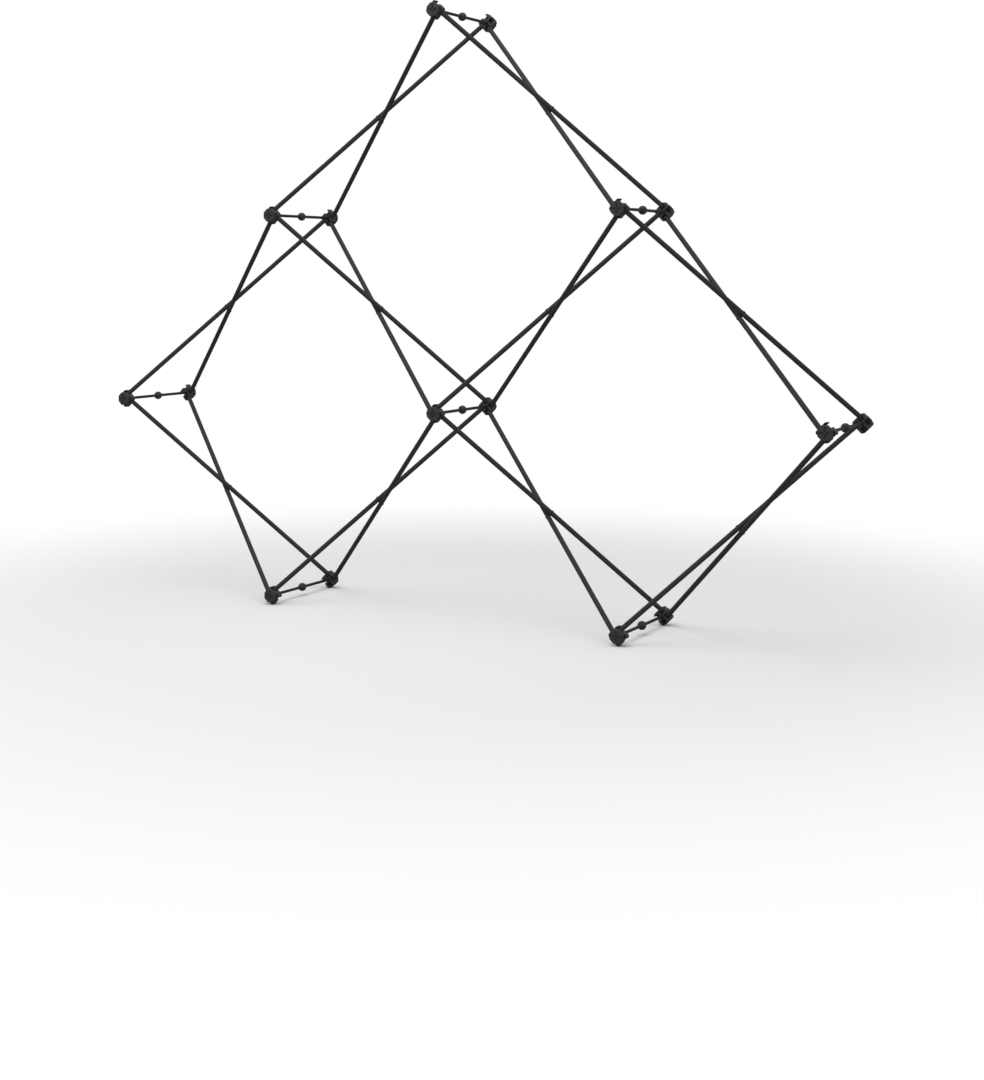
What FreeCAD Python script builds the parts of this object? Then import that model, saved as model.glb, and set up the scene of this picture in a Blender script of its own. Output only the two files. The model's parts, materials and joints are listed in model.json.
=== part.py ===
import FreeCAD, Part
import math
import os

os.makedirs("parts", exist_ok=True)
Vector = FreeCAD.Vector

# Tabletop pop-up display frame, standing open. Millimetres and degrees.
# +Z is up, the display side faces -Y, and the origin is on the table under the middle of the frame.
# Pairs of hubs, one in front and one behind, stand on a square grid turned by 45 degrees.
# Two crossed tubes join each neighbouring pair of hubs, and a snap lock holds each pair at its distance.

# Layout of the open frame
hub_pitch = 742.0  # between the axes of two neighbouring hub pairs
open_angle = 21.05  # tubes to the plane of the frame

# Scissor tubes
tube_diameter = 12.7
tube_wall = 1.0
scissor_gap = 0.7  # between the two tubes of a crossing
plug_neck = 9.0  # pivot to the end of the tube
plug_spigot = 18.0  # plug inside the tube
plug_play = 0.05  # round the spigot
plug_flat = 0.6  # taken off each side of a plug's eye
rivet_diameter = 4.0
rivet_play = 0.05  # round the shank and under the heads
rivet_head_diameter = 7.4
rivet_head_height = 0.9
rivet_head_taper = 1.0
washer_diameter = 10.0

# Hubs
face_inset = 1.0  # octagonal face inside the sides of the body
face_plate = 6.0  # outer face to the floor of the slots
face_height = 9.0  # outer face to the front of the corner lobes
rim_chamfer = 1.4
lobe_chamfer = 0.7  # at both ends of the corner lobes
lobe_wall = 5.9  # slot to the side of the body
corner_radius = 6.0
tip_flat = 4.0  # flat on each corner, a foot on the lowest hubs
slot_play = 0.35  # each side of a tube
core_wall = 1.9  # round the seat of the lock rod
swing_room = 1.65  # folded tube to the core
pin_diameter = 4.0
pin_play = 0.06  # round a pin in the plug's eye
pin_press = 0.02  # round a pin in the hub
pin_grip = 4.0  # pin held beyond the slot, on the core's side
pin_recess = 0.6  # outer end of a pin below the side of the body
pin_depth = 18.2  # outer face to the pins
lobe_end = 6.8  # pins to the inner end of the hub
pocket_wall = 1.6
pocket_floor = 1.2  # pocket to the pin below it
cross_start = 2.8  # recessed cross in the face, along one arm
cross_end = 15.2
cross_root_width = 4.2
cross_tip_width = 2.4
cross_root_depth = 3.4
cross_tip_depth = 0.8

# Snap locks
rod_diameter = 7.9
rod_seat = 14.0  # rod inside the hub
rod_play = 0.05  # round a rod in its seat
ball_diameter = 23.0
neck_diameter = 11.2
neck_length = 1.6  # collar proud of the ball, at each end
web_thickness = 3.0  # between the two seats in the ball
tip_diameter = 5.0
tip_length = 8.6
tip_nose = 1.6
tip_play = 0.1  # round the tip in its socket
lock_seat = 0.05  # shoulder of the rear rod to the ball's collar

# Sizes that follow
core_half = rod_diameter / 2 + core_wall
pivot_radius = core_half + swing_room + tube_diameter / 2
run = hub_pitch - 2 * pivot_radius  # pivot to pivot, in the plane of the frame
tube_offset = (tube_diameter + scissor_gap) / 2
slot_width = tube_diameter + 2 * slot_play
slot_low = tube_offset - slot_width / 2
slot_high = tube_offset + slot_width / 2
side_half = slot_high + lobe_wall
hub_depth = pin_depth + lobe_end
pivot_depth = run / 2 * math.tan(math.radians(open_angle))
outer_face = pivot_depth + pin_depth
tube_length = run / math.cos(math.radians(open_angle))
grid_step = hub_pitch / math.sqrt(2)
tip_sagitta = corner_radius - math.sqrt(corner_radius ** 2 - (tip_flat / 2) ** 2)
tip_reach = (side_half - corner_radius) * math.sqrt(2) + corner_radius - tip_sagitta
socket_depth = tip_length + tip_nose
beyond = 2 * side_half  # how far cutting solids reach past what they cut

# Hub positions on the turned grid: steps to the right, and steps up from the lowest row
stations = {
    "top": (0, 3),
    "upper_left": (-1, 2),
    "upper_right": (1, 2),
    "far_left": (-2, 1),
    "centre": (0, 1),
    "far_right": (2, 1),
    "foot_left": (-1, 0),
    "foot_right": (1, 0),
}
neighbours = [
    ("top", "upper_left"),
    ("top", "upper_right"),
    ("upper_left", "far_left"),
    ("upper_left", "centre"),
    ("upper_right", "centre"),
    ("upper_right", "far_right"),
    ("far_left", "foot_left"),
    ("centre", "foot_left"),
    ("centre", "foot_right"),
    ("far_right", "foot_right"),
]
slot_count = 4
along = Vector(0, 1, 0)
up = Vector(0, 0, 1)
centre_line = Vector(0, 0, 0)


def axis_point(station):
    right, rows = stations[station]
    return Vector(right * grid_step, 0, rows * grid_step + tip_reach)


def prism(outline, start, end):
    face = Part.Face(outline)
    face.translate(along * start)
    return face.extrude(along * (end - start))


def block(low_x, high_x, low_y, high_y, low_z, high_z):
    return Part.makeBox(high_x - low_x, high_y - low_y, high_z - low_z, Vector(low_x, low_y, low_z))


def turned(shape, angle):
    copy = shape.copy()
    copy.rotate(centre_line, -along, angle)
    return copy


def around(shape):
    return [turned(shape, 360 / slot_count * (quarter + 0.5)) for quarter in range(slot_count)]


# The body's outline seen from the front: a square with round corners, its sides square to the tubes
def rounded_square(half, radius):
    straight = half - radius
    edges = []
    for quarter in range(slot_count):
        turn = FreeCAD.Rotation(-along, 360 / slot_count * (quarter + 0.5))
        middle = straight + radius / math.sqrt(2)
        first = turn.multVec(Vector(half, 0, straight))
        bend = turn.multVec(Vector(middle, 0, middle))
        last = turn.multVec(Vector(straight, 0, half))
        after = turn.multVec(Vector(-straight, 0, half))
        edges.append(Part.Arc(first, bend, last).toShape())
        edges.append(Part.LineSegment(last, after).toShape())
    return Part.Wire(Part.__sortEdges__(edges))


def octagon(half):
    sides = 8
    reach = half / math.cos(math.pi / sides)
    angles = [2 * math.pi * (corner + 0.5) / sides for corner in range(sides + 1)]
    return Part.makePolygon([Vector(reach * math.cos(a), 0, reach * math.sin(a)) for a in angles])


# One arm of the recessed cross, deep and wide near the middle, shallow and narrow near the rim
def cross_arm():
    plan = [(cross_start, cross_root_width / 2), (cross_end, cross_tip_width / 2)]
    plan += [(place, -half) for place, half in reversed(plan)]
    corners = [Vector(place, 0, half) for place, half in plan]
    arm = prism(Part.makePolygon(corners + corners[:1]), 0, cross_root_depth)
    slope = [(cross_start, 0), (cross_start, cross_root_depth)]
    slope += [(cross_end, cross_tip_depth), (cross_end, 0)]
    corners = [Vector(place, depth, -cross_root_width) for place, depth in slope]
    side = Part.Face(Part.makePolygon(corners + corners[:1]))
    return arm.common(side.extrude(up * 2 * cross_root_width))


def face_block():
    block_face = prism(octagon(side_half - face_inset), 0, face_height)
    rim = [edge for edge in block_face.Edges if edge.BoundBox.YMax < rim_chamfer]
    return block_face.makeChamfer(rim_chamfer, rim)


# Pocket that cores the front of one corner lobe, beside the octagonal face
def lobe_pocket():
    floor = pin_depth - pin_diameter / 2 - pocket_floor
    inside = prism(rounded_square(side_half - pocket_wall, corner_radius - pocket_wall), 0, floor)
    lobe = block(0, beyond, 0, floor, slot_high + pocket_wall, beyond)
    inside = turned(inside, -180 / slot_count).common(lobe)
    return inside.cut(turned(prism(octagon(side_half - face_inset), 0, floor), -180 / slot_count))


def pin(length_from, length_to, radius):
    start = Vector(pivot_radius, pin_depth, length_from)
    return Part.makeCylinder(radius, length_to - length_from, start, up)


# Hub housing with its outer face at Y 0, the four slots set off to one side of the axis like a pinwheel
def hub_housing():
    body = prism(rounded_square(side_half, corner_radius), face_height, hub_depth)
    ends = [edge for edge in body.Edges if edge.BoundBox.YLength < lobe_chamfer]
    body = body.makeChamfer(lobe_chamfer, ends)
    tips = block(-tip_reach, tip_reach, 0, hub_depth, -tip_reach, tip_reach)
    housing = body.common(tips).fuse(face_block())
    slot = block(core_half, beyond, face_plate, hub_depth + beyond, slot_low, slot_high)
    hole = pin(slot_low - pin_grip, beyond, pin_diameter / 2 + pin_press)
    cuts = around(slot) + around(hole) + around(lobe_pocket())
    cuts += [turned(cross_arm(), 360 / slot_count * quarter) for quarter in range(slot_count)]
    seat = rod_diameter / 2 + rod_play
    cuts.append(Part.makeCylinder(seat, rod_seat, Vector(0, hub_depth - rod_seat, 0), along))
    return housing.cut(Part.makeCompound(cuts)).removeSplitter().Solids[0]


def on_side(shape, station, side):
    placed = shape.copy()
    placed.translate(-along * outer_face)
    if side == "rear":
        placed.rotate(centre_line, up, 180)
    placed.translate(axis_point(station))
    return placed


# Steel pins only in the slots that hold a tube
def hub_pins(station, side):
    pins = []
    straight = pin(slot_low - pin_grip, side_half - pin_recess, pin_diameter / 2)
    for first, second in neighbours:
        if station in (first, second):
            other = second if station == first else first
            way = axis_point(other) - axis_point(station)
            across = way.x if side == "front" else -way.x
            pins.append(turned(straight, math.degrees(math.atan2(way.z, across))))
    return pins


# Scissor tube along X with its middle at the origin, and the pivots' axes along Z
def tube_body():
    half = tube_length / 2 - plug_neck
    start = Vector(-half, 0, 0)
    way = Vector(1, 0, 0)
    shell = Part.makeCylinder(tube_diameter / 2, 2 * half, start, way)
    bore = Part.makeCylinder(tube_diameter / 2 - tube_wall, 2 * half, start, way)
    drill = Part.makeCylinder(rivet_diameter / 2 + rivet_play, 2 * tube_diameter, -up * tube_diameter, up)
    return shell.cut(Part.makeCompound([bore, drill]))


# Moulded plug in the end of a tube: a spigot inside it, and a flattened eye on the hub's pin
def tube_plug():
    way = Vector(1, 0, 0)
    radius = tube_diameter / 2
    pivot = tube_length / 2
    shoulder = pivot - plug_neck
    neck = Part.makeCylinder(radius, plug_neck + radius, Vector(shoulder, 0, 0), way)
    eye = Part.makeCylinder(radius, tube_diameter, Vector(pivot, 0, -radius), up)
    thick = radius - plug_flat
    eye = eye.fuse(block(shoulder, pivot, -radius, radius, -radius, radius))
    neck = neck.common(eye).common(block(shoulder, pivot + radius, -radius, radius, -thick, thick))
    inner = radius - tube_wall - plug_play
    spigot = Part.makeCylinder(inner, plug_spigot + plug_flat, Vector(shoulder - plug_spigot, 0, 0), way)
    bore = Part.makeCylinder(pin_diameter / 2 + pin_play, tube_diameter, Vector(pivot, 0, -radius), up)
    return neck.fuse(spigot).cut(bore).removeSplitter()


# Rivet and spacer washer of one crossing, carried by the tube whose middle is at the origin
def crossing_rivet():
    radius = tube_diameter / 2
    high = radius + rivet_play
    low = -2 * tube_offset - high
    rivet = Part.makeCylinder(rivet_diameter / 2, high - low, up * low, up)
    wide = rivet_head_diameter / 2
    for base, way in ((up * high, up), (up * low, -up)):
        rivet = rivet.fuse(Part.makeCone(wide, wide - rivet_head_taper, rivet_head_height, base, way))
    washer_top = -radius - rivet_play
    thickness = scissor_gap - 2 * rivet_play
    washer = Part.makeCylinder(washer_diameter / 2, thickness, up * (washer_top - thickness), up)
    hole = Part.makeCylinder(rivet_diameter / 2 + rivet_play, thickness, up * (washer_top - thickness), up)
    return [rivet.removeSplitter(), washer.cut(hole)]


# A tube runs from the front hub of one pair to the rear hub of its neighbour, beside the line of their axes
def tube_place(front, rear):
    plan = axis_point(rear) - axis_point(front)
    plan.normalize()
    side = Vector(-plan.z, 0, plan.x)
    slope = math.radians(open_angle)
    way = plan * math.cos(slope) + along * math.sin(slope)
    middle = (axis_point(front) + axis_point(rear)) * 0.5 + side * tube_offset
    return FreeCAD.Placement(middle, FreeCAD.Rotation(way, side.cross(way), side, "XZY"))


def moved(shape, place):
    copy = shape.copy()
    copy.Placement = place.multiply(copy.Placement)
    return copy


# Lock rods lie on the hub's axis, in the hub's own frame
rod_start = hub_depth - rod_seat + rod_play
collar = ball_diameter / 2 + neck_length


def rod_cylinder(radius, start, end):
    return Part.makeCylinder(radius, end - start, Vector(0, start, 0), along)


def front_rod():
    return rod_cylinder(rod_diameter / 2, rod_start, outer_face - web_thickness / 2 - rod_play)


# The rear rod ends in a shoulder against the ball's collar and a nosed tip in its socket
def rear_rod():
    shoulder = outer_face - collar - lock_seat
    rod = rod_cylinder(rod_diameter / 2, rod_start, shoulder)
    tip = rod_cylinder(tip_diameter / 2, shoulder, shoulder + tip_length)
    nose = Part.makeCone(tip_diameter / 2, tip_diameter / 2 - tip_nose, tip_nose,
                         Vector(0, shoulder + tip_length, 0), along)
    return rod.fuse(tip).fuse(nose).removeSplitter()


# Moulded ball between the rods: the front rod's seat, and the socket that the rear rod snaps into
def lock_ball():
    middle = Vector(0, outer_face, 0)
    ball = Part.makeSphere(ball_diameter / 2, middle)
    ball = ball.fuse(rod_cylinder(neck_diameter / 2, outer_face - collar, outer_face + collar))
    seat = rod_cylinder(rod_diameter / 2 + rod_play, outer_face - collar, outer_face - web_thickness / 2)
    socket = rod_cylinder(tip_diameter / 2 + tip_play, outer_face + collar - socket_depth - lock_seat,
                          outer_face + collar)
    return ball.cut(seat).cut(socket).removeSplitter()


def write(name, solids):
    Part.makeCompound(solids).exportStep("parts/" + name + ".step")


housing = hub_housing()
rods = {"front": front_rod(), "rear": rear_rod()}
ball = lock_ball()
for station in stations:
    for side in rods:
        pieces = [housing] + hub_pins(station, side)
        write("hub_" + side + "_" + station, [on_side(piece, station, side) for piece in pieces])
        write("lock_rod_" + side + "_" + station, [on_side(rods[side], station, side)])
    write("lock_ball_" + station, [on_side(ball, station, "front")])

plug = tube_plug()
far_plug = plug.copy()
far_plug.rotate(centre_line, up, 180)
plain_tube = [tube_body(), plug, far_plug]
riveted_tube = plain_tube + crossing_rivet()
for first, second in neighbours:
    for front, rear, pieces in ((first, second, riveted_tube), (second, first, plain_tube)):
        place = tube_place(front, rear)
        write("tube_front_" + front + "_rear_" + rear, [moved(piece, place) for piece in pieces])
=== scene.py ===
import json
import math

import bmesh
import bpy
from mathutils import Matrix, Vector

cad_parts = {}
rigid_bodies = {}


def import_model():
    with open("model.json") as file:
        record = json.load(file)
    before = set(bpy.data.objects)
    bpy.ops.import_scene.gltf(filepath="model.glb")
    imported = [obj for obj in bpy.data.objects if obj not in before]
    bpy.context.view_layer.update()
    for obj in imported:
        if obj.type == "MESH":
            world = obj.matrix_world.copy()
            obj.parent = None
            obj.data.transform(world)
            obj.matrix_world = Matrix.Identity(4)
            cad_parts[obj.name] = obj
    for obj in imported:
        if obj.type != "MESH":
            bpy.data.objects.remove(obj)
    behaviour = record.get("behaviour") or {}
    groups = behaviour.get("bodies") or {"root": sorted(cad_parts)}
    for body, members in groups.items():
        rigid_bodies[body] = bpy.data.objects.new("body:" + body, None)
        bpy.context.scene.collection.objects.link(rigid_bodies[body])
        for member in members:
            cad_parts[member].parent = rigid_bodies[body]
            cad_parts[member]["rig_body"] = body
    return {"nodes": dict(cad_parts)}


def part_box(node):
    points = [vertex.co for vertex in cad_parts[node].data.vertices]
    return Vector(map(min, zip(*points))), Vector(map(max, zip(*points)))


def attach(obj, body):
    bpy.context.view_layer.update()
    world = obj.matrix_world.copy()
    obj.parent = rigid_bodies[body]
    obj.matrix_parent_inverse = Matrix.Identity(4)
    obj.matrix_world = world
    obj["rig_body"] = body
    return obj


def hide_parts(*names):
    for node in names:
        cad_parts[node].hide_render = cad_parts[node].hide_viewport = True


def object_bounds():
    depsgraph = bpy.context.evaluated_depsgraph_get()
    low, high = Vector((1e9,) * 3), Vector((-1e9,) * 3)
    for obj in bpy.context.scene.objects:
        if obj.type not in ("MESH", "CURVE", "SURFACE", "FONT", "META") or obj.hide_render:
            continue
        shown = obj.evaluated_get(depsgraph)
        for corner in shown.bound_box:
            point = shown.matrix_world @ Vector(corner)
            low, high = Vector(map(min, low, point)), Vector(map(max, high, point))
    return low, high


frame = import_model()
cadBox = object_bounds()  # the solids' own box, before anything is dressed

nodes = frame["nodes"]
scene = bpy.context.scene
scene.view_settings.view_transform = "Standard"


# helpers for node trees, shared by the finishes, the floor and the light

def freshMaterial(name):
    mat = bpy.data.materials.new(name)
    mat.use_nodes = True
    tree = mat.node_tree
    return mat, tree, tree.nodes["Principled BSDF"]


# sockets are named with _ for each space
def fill(node, **sockets):
    for socket, value in sockets.items():
        node.inputs[socket.replace("_", " ")].default_value = value
    return node


def put(tree, kind, **sockets):
    return fill(tree.nodes.new(kind), **sockets)


def join(tree, source, output, target, socket):
    tree.links.new(source.outputs[output], target.inputs[socket])


def grey(level):
    return (level, level, level, 1)


noiseSpan = (0.3, 0.7)  # where nearly all of a noise field lies


# a noise field read from the solids' own coordinates in metres, turned first and then stretched
def noiseField(tree, scale, detail, roughness=0.5, turn=None, stretch=None):
    last, output = tree.nodes.new("ShaderNodeTexCoord"), "Object"
    for socket, value in (("Rotation", turn), ("Scale", stretch)):
        if value is not None:
            mapping = put(tree, "ShaderNodeMapping", **{socket: value})
            join(tree, last, output, mapping, "Vector")
            last, output = mapping, "Vector"
    noise = put(tree, "ShaderNodeTexNoise", Scale=scale, Detail=detail, Roughness=roughness)
    join(tree, last, output, noise, "Vector")
    return noise


# spreads a noise field over the colours between two
def tint(tree, noise, colours, bsdf):
    ramp = tree.nodes.new("ShaderNodeValToRGB")
    for element, position, colour in zip(ramp.color_ramp.elements, noiseSpan, colours):
        element.position = position
        element.color = colour
    join(tree, noise, "Fac", ramp, "Fac")
    join(tree, ramp, "Color", bsdf, "Base Color")


# spreads a noise field over a range of roughness
def roughen(tree, noise, gloss, bsdf):
    span = put(tree, "ShaderNodeMapRange", From_Min=noiseSpan[0], From_Max=noiseSpan[1],
               To_Min=gloss[0], To_Max=gloss[1])
    join(tree, noise, "Fac", span, "Value")
    join(tree, span, "Result", bsdf, "Roughness")


# small height from a noise field, its depth in metres
def relief(tree, noise, depth, bsdf):
    bump = put(tree, "ShaderNodeBump", Strength=1.0, Distance=depth)
    join(tree, noise, "Fac", bump, "Height")
    join(tree, bump, "Normal", bsdf, "Normal")


# one noise field each for the colour, the gloss and the height of a look
def applyLook(tree, bsdf, look, colour, gloss, height):
    tint(tree, colour, (look["dark"], look["light"]), bsdf)
    roughen(tree, gloss, look["gloss"], bsdf)
    relief(tree, height, look["depth"], bsdf)
    fill(bsdf, Specular_IOR_Level=look["shine"])


# satin black moulding of the hubs, with a spark-eroded grain
hubFinish = {
    "dark": (0.0492, 0.0498, 0.0502, 1),
    "light": (0.0598, 0.0604, 0.0608, 1),
    "gloss": (0.55, 0.68),  # least and most roughness
    "shine": 0.06,
    "blotch": 70,  # per metre
    "grain": 3800,  # per metre
    "depth": 0.000012,  # of the grain
}
# its edges and slot webs, a little smoother and lighter; on the edges the lighter tone is partly
# rubbed wear and partly a painted highlight, on the slot webs it is painted light on the slot
# floors
edgeWearAndPaintedLightFinish = dict(
    hubFinish,
    dark=(0.062, 0.0626, 0.063, 1),
    light=(0.075, 0.0756, 0.076, 1),
    gloss=(0.42, 0.54),
    depth=0.000006,
)
# the lock balls, a smoother and darker moulding
ballFinish = dict(
    hubFinish,
    dark=(0.040, 0.0405, 0.0408, 1),
    light=(0.048, 0.0485, 0.0488, 1),
    gloss=(0.46, 0.58),
    depth=0.000006,
)
# plugs and washers, bare nylon with a faint bloom
plugFinish = dict(
    hubFinish,
    dark=(0.026, 0.0262, 0.0265, 1),
    light=(0.036, 0.0362, 0.0365, 1),
    blotch=160,
)


def mouldedFinish(name, look):
    mat, tree, bsdf = freshMaterial(name)
    blotch = noiseField(tree, look["blotch"], detail=3)
    grain = noiseField(tree, look["grain"], detail=2)
    applyLook(tree, bsdf, look, blotch, grain, grain)
    return mat


# black coated drawn tube: die lines run along it, so each direction of tube has its own turn
tubeFinish = {
    "dark": (0.0390, 0.0396, 0.0400, 1),
    "light": (0.0510, 0.0516, 0.0520, 1),
    "gloss": (0.54, 0.68),
    "shine": 0.03,
    "lines": (4, 900, 900),  # per metre, along the tube and across it
    "depth": 0.000006,  # of the lines
    "blotch": 28,
}
# blackened rods, with lines along Y
rodFinish = {
    "dark": (0.0200, 0.0203, 0.0206, 1),
    "light": (0.0270, 0.0273, 0.0276, 1),
    "gloss": (0.48, 0.62),
    "shine": 0.06,
    "lines": (800, 12, 800),
    "depth": 0.000005,
}
# pins and rivets, oiled steel
pinFinish = dict(
    rodFinish,
    dark=(0.030, 0.0302, 0.0305, 1),
    light=(0.042, 0.0422, 0.0426, 1),
    gloss=(0.30, 0.42),
    shine=0.3,
    lines=(600, 600, 600),
)


def dieLines(tree, look, turn=None):
    return noiseField(tree, 1, detail=3, roughness=0.6, turn=turn, stretch=look["lines"])


def drawnFinish(name, look, way):
    mat, tree, bsdf = freshMaterial(name)
    lines = dieLines(tree, look, way.rotation_difference(Vector((1, 0, 0))).to_euler())
    blotch = noiseField(tree, look["blotch"], detail=3)
    applyLook(tree, bsdf, look, lines, blotch, lines)
    return mat


def steelFinish(name, look):
    mat, tree, bsdf = freshMaterial(name)
    lines = dieLines(tree, look)
    applyLook(tree, bsdf, look, lines, lines, lines)
    return mat


hubPlastic = mouldedFinish("hubPlastic", hubFinish)
# lighter than the housing: partly edge wear, partly painted highlight on the edges and painted
# light on the slot webs
hubEdgeWearAndPaintedLight = mouldedFinish("hubEdgeWearAndPaintedLight", edgeWearAndPaintedLightFinish)
ballPlastic = mouldedFinish("ballPlastic", ballFinish)
plugNylon = mouldedFinish("plugNylon", plugFinish)
rodBlack = steelFinish("rodBlack", rodFinish)
pinSteel = steelFinish("pinSteel", pinFinish)
print("finishes mixed")


# helpers for the frame's nodes

def nodesNamed(start):
    return [nodeName for nodeName in sorted(nodes) if nodeName.startswith(start)]


def middleOf(nodeName):
    low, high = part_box(nodeName)
    return (low + high) / 2


oneVertex = 0.000002  # vertices nearer than this are one


# the separate solids of a node as lists of faces, the longest solid first
def looseParts(mesh):
    leader = {}

    def leaderOf(corner):
        while leader[corner] != corner:
            leader[corner] = leader[leader[corner]]
            corner = leader[corner]
        return corner

    def reach(part):
        points = [mesh.vertices[vertex].co for face in part for vertex in face.vertices]
        middle = sum(points, Vector()) / len(points)
        return max((point - middle).length for point in points)

    corners = [tuple(round(c / oneVertex) for c in vertex.co) for vertex in mesh.vertices]
    for corner in corners:
        leader[corner] = corner
    for face in mesh.polygons:
        first = leaderOf(corners[face.vertices[0]])
        for vertex in face.vertices[1:]:
            leader[leaderOf(corners[vertex])] = first
    parts = {}
    for face in mesh.polygons:
        parts.setdefault(leaderOf(corners[face.vertices[0]]), []).append(face)
    return sorted(parts.values(), key=reach, reverse=True)


# a copy of a node's mesh that gives each of its solids a finish, the longest solid first
def markedCopy(nodeName, name, finishes):
    mesh = nodes[nodeName].data.copy()
    mesh.name = name
    for part, finish in zip(looseParts(mesh), finishes):
        for face in part:
            face.material_index = finish
    return mesh


def dressNode(nodeName, mesh, finishes):
    piece = bpy.data.objects.new(mesh.name, mesh)
    scene.collection.objects.link(piece)
    mesh.materials.clear()
    for finish in finishes:
        mesh.materials.append(finish)
    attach(piece, nodes[nodeName]["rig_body"])
    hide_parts(nodeName)
    return piece


# hubs: each housing with its edges rounded as a mould leaves them, and its steel pins
housing, edgeWearAndPaintedLight, hubPin = range(3)  # places in the list of finishes
hubLook = {
    "finishes": [hubPlastic, hubEdgeWearAndPaintedLight, pinSteel],
    "solids": [housing, hubPin, hubPin, hubPin, hubPin],  # a hub has two to four pins
    "radius": 0.00025,
    "segments": 2,
    "profile": 0.5,  # round
    "sharper": math.radians(28),  # edges sharper than this are rounded
    "flatWeight": 100,  # how much the large faces lead the shading
}
# thin webs across the slots, behind the fronts of a hub's corners; the front hubs' upper slots
# stay open
slotWeb = {
    "front": (225, 315),  # degrees round from the right, seen from the hub's face
    "rear": (45, 135, 225, 315),
    "along": (0.0056, 0.01925),  # from the hub's middle outwards
    "across": (-0.0002, 0.0136),
    "deep": (0.0102, 0.0114),  # under the hub's face
}


def addSlotWebs(work, nodeName):
    low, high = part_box(nodeName)
    side = nodeName.split("_")[1]
    way = 1 if side == "front" else -1
    start = middleOf(nodeName)
    start.y = low.y if way > 0 else high.y
    for angle in map(math.radians, slotWeb[side]):
        out = Vector((way * math.cos(angle), 0, math.sin(angle)))
        inward = Vector((0, way, 0))
        aside = Vector((-way * math.sin(angle), 0, math.cos(angle)))
        middle = start.copy()
        sides = []
        for axis, span in ((out, "along"), (inward, "deep"), (aside, "across")):
            near, far = slotWeb[span]
            middle += axis * (near + far) / 2
            sides.append(axis * (far - near))
        place = Matrix.Translation(middle) @ Matrix(sides).transposed().to_4x4()
        web = bmesh.ops.create_cube(work, size=1, matrix=place)["verts"]
        for face in {face for vertex in web for face in vertex.link_faces}:
            # the webs take the lighter edge finish, painted light on the slot floors
            face.material_index = edgeWearAndPaintedLight


def roundedHub(nodeName):
    mesh = markedCopy(nodeName, "moulded_" + nodeName, hubLook["solids"])
    work = bmesh.new()
    work.from_mesh(mesh)
    bmesh.ops.remove_doubles(work, verts=work.verts, dist=oneVertex)
    addSlotWebs(work, nodeName)
    sharp = [edge for edge in work.edges
             if edge.link_faces[0].material_index != hubPin
             and edge.calc_face_angle() > hubLook["sharper"]]
    # the rounded edges take the lighter edge finish, partly rubbed wear and partly a painted
    # highlight
    bmesh.ops.bevel(work, geom=sharp, offset=hubLook["radius"], segments=hubLook["segments"],
                    profile=hubLook["profile"], affect="EDGES", clamp_overlap=False,
                    material=edgeWearAndPaintedLight)
    low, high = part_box(nodeName)
    for vertex in work.verts:  # small tips stay inside the solid's own box
        vertex.co = [min(max(c, least), most) for c, least, most in zip(vertex.co, low, high)]
    for face in work.faces:
        face.smooth = True
    work.to_mesh(mesh)
    work.free()
    return mesh


for nodeName in nodesNamed("hub_"):
    mesh = roundedHub(nodeName)
    piece = dressNode(nodeName, mesh, hubLook["finishes"])
    flat = piece.modifiers.new("flatFacesStayFlat", "WEIGHTED_NORMAL")
    flat.mode = "FACE_AREA"
    flat.weight = hubLook["flatWeight"]
print("hubs rounded")


# tubes: copies of the solids, with the plugs, rivets and washers in their own finishes
tubeWall, tubePlug, tubePin = range(3)  # places in the list of finishes
# the tube and its plugs, then the rivet and the washer of a tube that carries a crossing
tubeSolids = [tubeWall, tubePlug, tubePlug, tubePin, tubePlug]
tubeFinishes = {}  # one for each direction of tube


def tubeBlack(nodeName):
    front, rear = nodeName.removeprefix("tube_front_").split("_rear_")
    way = (middleOf("hub_rear_" + rear) - middleOf("hub_front_" + front)).normalized()
    lean = (way.x > 0, way.z > 0)
    if lean not in tubeFinishes:
        name = "tubeBlack" + str(len(tubeFinishes) + 1)
        tubeFinishes[lean] = drawnFinish(name, tubeFinish, way)
    return tubeFinishes[lean]


for nodeName in nodesNamed("tube_"):
    mesh = markedCopy(nodeName, "drawn_" + nodeName, tubeSolids)
    dressNode(nodeName, mesh, [tubeBlack(nodeName), plugNylon, pinSteel])
print("tubes dressed")


# rods and balls keep their solids
for start, finish in (("lock_ball_", ballPlastic), ("lock_rod_", rodBlack)):
    for nodeName in nodesNamed(start):
        mesh = nodes[nodeName].data
        mesh.materials.clear()
        mesh.materials.append(finish)
print("locks finished")


# floor: pale near the feet, where it takes the shadow, and white further off
floorLook = {
    "size": 16.0,
    "tone": (0.80, 0.80, 0.80, 1),
    "roughness": 0.9,
    "shine": 0.0,
    "bounce": (0.32, 0.32, 0.32, 1),  # what the object gets back from it
    "fadeFrom": 0.8,
    "fadeTo": 2.3,
    "below": 0.0002,  # under the feet
}


# 1 for the rays that show a surface, straight or mirrored, and 0 for those that only light others
def seenRays(tree):
    path = tree.nodes.new("ShaderNodeLightPath")
    last, output = path, "Is Camera Ray"
    for ray in ("Is Glossy Ray", "Is Transmission Ray"):
        either = tree.nodes.new("ShaderNodeMath")
        either.operation = "MAXIMUM"
        join(tree, last, output, either, 0)
        join(tree, path, ray, either, 1)
        last, output = either, "Value"
    return last, output


def mixShader(tree, share, output, first, firstOutput, second, secondOutput):
    mix = tree.nodes.new("ShaderNodeMixShader")
    join(tree, share, output, mix, 0)
    join(tree, first, firstOutput, mix, 1)
    join(tree, second, secondOutput, mix, 2)
    return mix


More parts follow.
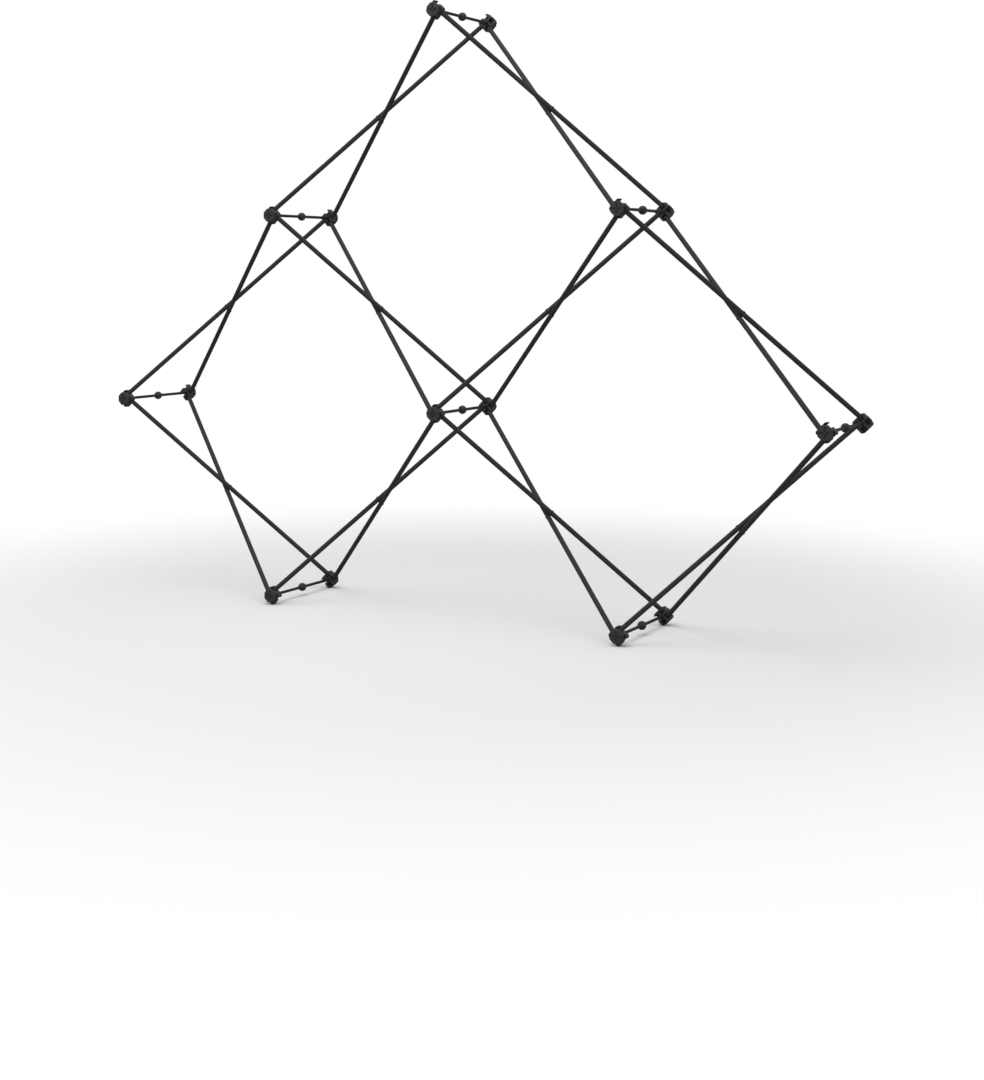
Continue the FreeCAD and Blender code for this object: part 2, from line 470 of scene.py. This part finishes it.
def makeFloor():
    half = floorLook["size"] / 2
    mesh = bpy.data.meshes.new("floor")
    corners = [(-half, -half, 0), (half, -half, 0), (half, half, 0), (-half, half, 0)]
    mesh.from_pydata(corners, [], [(0, 1, 2, 3)])
    floor = bpy.data.objects.new("floor", mesh)
    floor.location.z = cadBox[0].z - floorLook["below"]
    scene.collection.objects.link(floor)

    mat, tree, pale = freshMaterial("floorPale")
    fill(pale, Base_Color=floorLook["tone"], Roughness=floorLook["roughness"],
         Specular_IOR_Level=floorLook["shine"])
    coords = tree.nodes.new("ShaderNodeTexCoord")
    distance = tree.nodes.new("ShaderNodeVectorMath")
    distance.operation = "LENGTH"
    join(tree, coords, "Object", distance, 0)
    fade = put(tree, "ShaderNodeMapRange", From_Min=floorLook["fadeFrom"],
               From_Max=floorLook["fadeTo"])
    fade.interpolation_type = "SMOOTHSTEP"
    join(tree, distance, "Value", fade, "Value")
    white = put(tree, "ShaderNodeEmission", Color=grey(1.0), Strength=1.0)
    dull = put(tree, "ShaderNodeBsdfDiffuse", Color=floorLook["bounce"])
    shown = mixShader(tree, fade, "Result", pale, "BSDF", white, "Emission")
    seen, ray = seenRays(tree)
    either = mixShader(tree, seen, ray, dull, "BSDF", shown, "Shader")
    join(tree, either, "Shader", tree.nodes["Material Output"], "Surface")
    mesh.materials.append(mat)


makeFloor()
print("floor laid")


# light: a wide soft lamp overhead in a room that is bright above and dark below
studio = {
    "lampSize": 3.2,
    "lampPlace": (-0.15, -0.9, 3.4),
    "lampPower": 62.0,
    "zenith": 0.66,
    "horizon": 0.62,
    "under": 0.20,
    "underTo": 0.48,  # 0 is straight down, 0.5 level and 1 straight up
    "horizonFrom": 0.52,
}


def makeLight():
    data = bpy.data.lights.new("overhead", "AREA")
    data.shape = "DISK"
    data.size = studio["lampSize"]
    data.energy = studio["lampPower"]
    lamp = bpy.data.objects.new("overhead", data)
    lamp.location = studio["lampPlace"]
    target = (cadBox[0] + cadBox[1]) / 2
    lamp.rotation_euler = (target - lamp.location).to_track_quat("-Z", "Y").to_euler()
    scene.collection.objects.link(lamp)

    world = bpy.data.worlds.new("studioRoom")
    world.use_nodes = True
    tree = world.node_tree
    scene.world = world
    room = fill(tree.nodes["Background"], Strength=1.0)
    coords = tree.nodes.new("ShaderNodeTexCoord")
    split = tree.nodes.new("ShaderNodeSeparateXYZ")
    join(tree, coords, "Generated", split, "Vector")
    height = put(tree, "ShaderNodeMapRange", From_Min=-1.0, From_Max=1.0)
    join(tree, split, "Z", height, "Value")
    ramp = tree.nodes.new("ShaderNodeValToRGB")
    under, zenith = ramp.color_ramp.elements
    under.color = grey(studio["under"])
    under.position = studio["underTo"]
    zenith.color = grey(studio["zenith"])
    horizon = ramp.color_ramp.elements.new(studio["horizonFrom"])
    horizon.color = grey(studio["horizon"])
    join(tree, height, "Result", ramp, "Fac")
    join(tree, ramp, "Color", room, "Color")
    white = put(tree, "ShaderNodeBackground", Color=grey(1.0), Strength=1.0)
    seen, ray = seenRays(tree)
    either = mixShader(tree, seen, ray, room, "Background", white, "Background")
    join(tree, either, "Shader", tree.nodes["World Output"], "Surface")


makeLight()
print("light set")


# camera: a slightly long lens from the front right, a little above half the frame's height
cameraLook = {
    "place": (2.2934, -3.9596, 0.9241),
    "turn": math.radians(30.097),
    "down": math.radians(1.0),
    "lens": 57.039,
    "sensor": 36.0,
    "shift": (0.02794, -0.22263),
}


def makeCamera():
    data = bpy.data.cameras.new("camera")
    data.lens = cameraLook["lens"]
    data.sensor_width = cameraLook["sensor"]
    data.shift_x, data.shift_y = cameraLook["shift"]
    camera = bpy.data.objects.new("camera", data)
    camera.location = cameraLook["place"]
    camera.rotation_euler = (math.radians(90) - cameraLook["down"], 0, cameraLook["turn"])
    scene.collection.objects.link(camera)
    scene.camera = camera


makeCamera()
print("camera placed")
